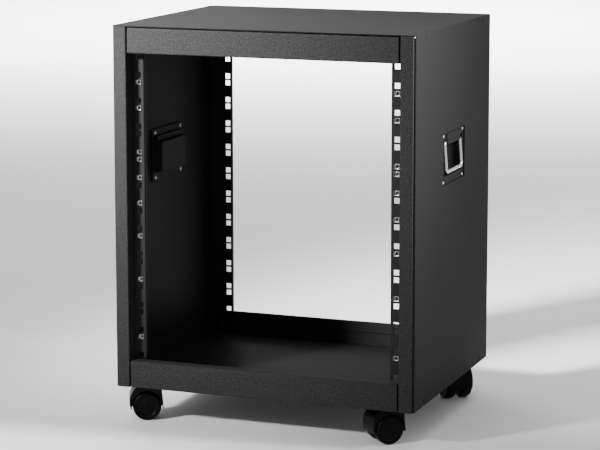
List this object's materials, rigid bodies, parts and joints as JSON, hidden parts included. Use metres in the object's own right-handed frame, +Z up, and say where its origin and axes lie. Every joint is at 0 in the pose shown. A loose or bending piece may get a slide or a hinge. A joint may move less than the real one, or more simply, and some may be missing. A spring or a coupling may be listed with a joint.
{
  "type": "equipment rack case",
  "caption": "Open-fronted steel rack cabinet with square-hole rack rails front and back, recessed bail handles and twin-wheel swivel casters.",
  "frame": {"origin": "on the floor, under the middle of the cabinet", "axes": "+X to the right seen from the front, +Y from the front opening to the back, +Z up"},
  "size_m": [0.5482, 0.438, 0.6925],
  "materials": {
    "textured_black": "fine textured charcoal powder coat",
    "smooth_black": "satin black powder coat",
    "rail_black": "black coated steel",
    "bright_steel": "bright plated rod",
    "zinc": "slightly yellow zinc plate",
    "black_plastic": "moulded black nylon",
    "dark_steel": "blackened steel"
  },
  "bodies": {
    "cabinet": {"left_side_panel": "smooth_black", "right_side_panel": "smooth_black", "top_panel": "smooth_black", "base_panel": "smooth_black", "front_post_left": "textured_black", "front_post_right": "textured_black", "front_top_beam": "textured_black", "front_bottom_beam": "textured_black", "rear_top_beam": "smooth_black", "rear_bottom_beam": "smooth_black", "front_rail_left": "rail_black", "front_rail_right": "rail_black", "rear_rail_left": "rail_black", "rear_rail_right": "rail_black", "left_handle_tray": "smooth_black", "right_handle_tray": "smooth_black", "left_handle_strap": "smooth_black", "right_handle_strap": "smooth_black", "front_left_caster_plate": "dark_steel", "front_right_caster_plate": "dark_steel", "rear_left_caster_plate": "dark_steel", "rear_right_caster_plate": "dark_steel", "cage_nut_left_01_lower": "zinc", "cage_nut_left_02_lower": "zinc", "cage_nut_left_04_upper": "zinc", "cage_nut_left_04_lower": "zinc", "cage_nut_left_05_upper": "zinc", "cage_nut_left_06_upper": "zinc", "cage_nut_left_07_lower": "zinc", "cage_nut_left_09_upper": "zinc", "cage_nut_left_11_lower": "zinc", "cage_nut_right_01_lower": "zinc", "cage_nut_right_02_lower": "zinc", "cage_nut_right_04_upper": "zinc", "cage_nut_right_04_lower": "zinc", "cage_nut_right_05_upper": "zinc", "cage_nut_right_06_upper": "zinc", "cage_nut_right_07_lower": "zinc", "cage_nut_right_09_upper": "zinc", "cage_nut_right_11_lower": "zinc"},
    "left_bail": {"left_handle_bail": "bright_steel"},
    "right_bail": {"right_handle_bail": "bright_steel"},
    "front_left_swivel": {"front_left_caster_hood": "black_plastic", "front_left_caster_axle": "dark_steel"},
    "front_left_wheel_1": {"front_left_caster_wheel_1": "black_plastic"},
    "front_left_wheel_2": {"front_left_caster_wheel_2": "black_plastic"},
    "front_right_swivel": {"front_right_caster_hood": "black_plastic", "front_right_caster_axle": "dark_steel"},
    "front_right_wheel_1": {"front_right_caster_wheel_1": "black_plastic"},
    "front_right_wheel_2": {"front_right_caster_wheel_2": "black_plastic"},
    "rear_left_swivel": {"rear_left_caster_hood": "black_plastic", "rear_left_caster_axle": "dark_steel"},
    "rear_left_wheel_1": {"rear_left_caster_wheel_1": "black_plastic"},
    "rear_left_wheel_2": {"rear_left_caster_wheel_2": "black_plastic"},
    "rear_right_swivel": {"rear_right_caster_hood": "black_plastic", "rear_right_caster_axle": "dark_steel"},
    "rear_right_wheel_1": {"rear_right_caster_wheel_1": "black_plastic"},
    "rear_right_wheel_2": {"rear_right_caster_wheel_2": "black_plastic"}
  },
  "joints": [
    {"name": "left_bail_swing", "type": "hinge", "parent": "cabinet", "child": "left_bail", "pos_m": [-0.267, 0, 0.474], "axis": [0, 1, 0], "range_deg": [0, 86]},
    {"name": "right_bail_swing", "type": "hinge", "parent": "cabinet", "child": "right_bail", "pos_m": [0.267, 0, 0.4935], "axis": [0, -1, 0], "range_deg": [0, 86]},
    {"name": "front_left_swivel_turn", "type": "hinge", "parent": "cabinet", "child": "front_left_swivel", "pos_m": [-0.219, -0.164, 0.0592], "axis": [0, 0, 1], "continuous": true},
    {"name": "front_left_wheel_1_spin", "type": "hinge", "parent": "front_left_swivel", "child": "front_left_wheel_1", "pos_m": [-0.23428, -0.17145, 0.025], "axis": [-0.4384, 0.8988, 0], "continuous": true},
    {"name": "front_left_wheel_2_spin", "type": "hinge", "parent": "front_left_swivel", "child": "front_left_wheel_2", "pos_m": [-0.23428, -0.17145, 0.025], "axis": [-0.4384, 0.8988, 0], "continuous": true},
    {"name": "front_right_swivel_turn", "type": "hinge", "parent": "cabinet", "child": "front_right_swivel", "pos_m": [0.219, -0.164, 0.0592], "axis": [0, 0, 1], "continuous": true},
    {"name": "front_right_wheel_1_spin", "type": "hinge", "parent": "front_right_swivel", "child": "front_right_wheel_1", "pos_m": [0.20677, -0.17581, 0.025], "axis": [-0.6947, 0.7193, 0], "continuous": true},
    {"name": "front_right_wheel_2_spin", "type": "hinge", "parent": "front_right_swivel", "child": "front_right_wheel_2", "pos_m": [0.20677, -0.17581, 0.025], "axis": [-0.6947, 0.7193, 0], "continuous": true},
    {"name": "rear_left_swivel_turn", "type": "hinge", "parent": "cabinet", "child": "rear_left_swivel", "pos_m": [-0.219, 0.164, 0.0592], "axis": [0, 0, 1], "continuous": true},
    {"name": "rear_left_wheel_1_spin", "type": "hinge", "parent": "rear_left_swivel", "child": "rear_left_wheel_1", "pos_m": [-0.23497, 0.16981, 0.025], "axis": [0.342, 0.9397, 0], "continuous": true},
    {"name": "rear_left_wheel_2_spin", "type": "hinge", "parent": "rear_left_swivel", "child": "rear_left_wheel_2", "pos_m": [-0.23497, 0.16981, 0.025], "axis": [0.342, 0.9397, 0], "continuous": true},
    {"name": "rear_right_swivel_turn", "type": "hinge", "parent": "cabinet", "child": "rear_right_swivel", "pos_m": [0.219, 0.164, 0.0592], "axis": [0, 0, 1], "continuous": true},
    {"name": "rear_right_wheel_1_spin", "type": "hinge", "parent": "rear_right_swivel", "child": "rear_right_wheel_1", "pos_m": [0.23051, 0.15149, 0.025], "axis": [-0.7361, -0.6769, 0], "continuous": true},
    {"name": "rear_right_wheel_2_spin", "type": "hinge", "parent": "rear_right_swivel", "child": "rear_right_wheel_2", "pos_m": [0.23051, 0.15149, 0.025], "axis": [-0.7361, -0.6769, 0], "continuous": true}
  ]
}
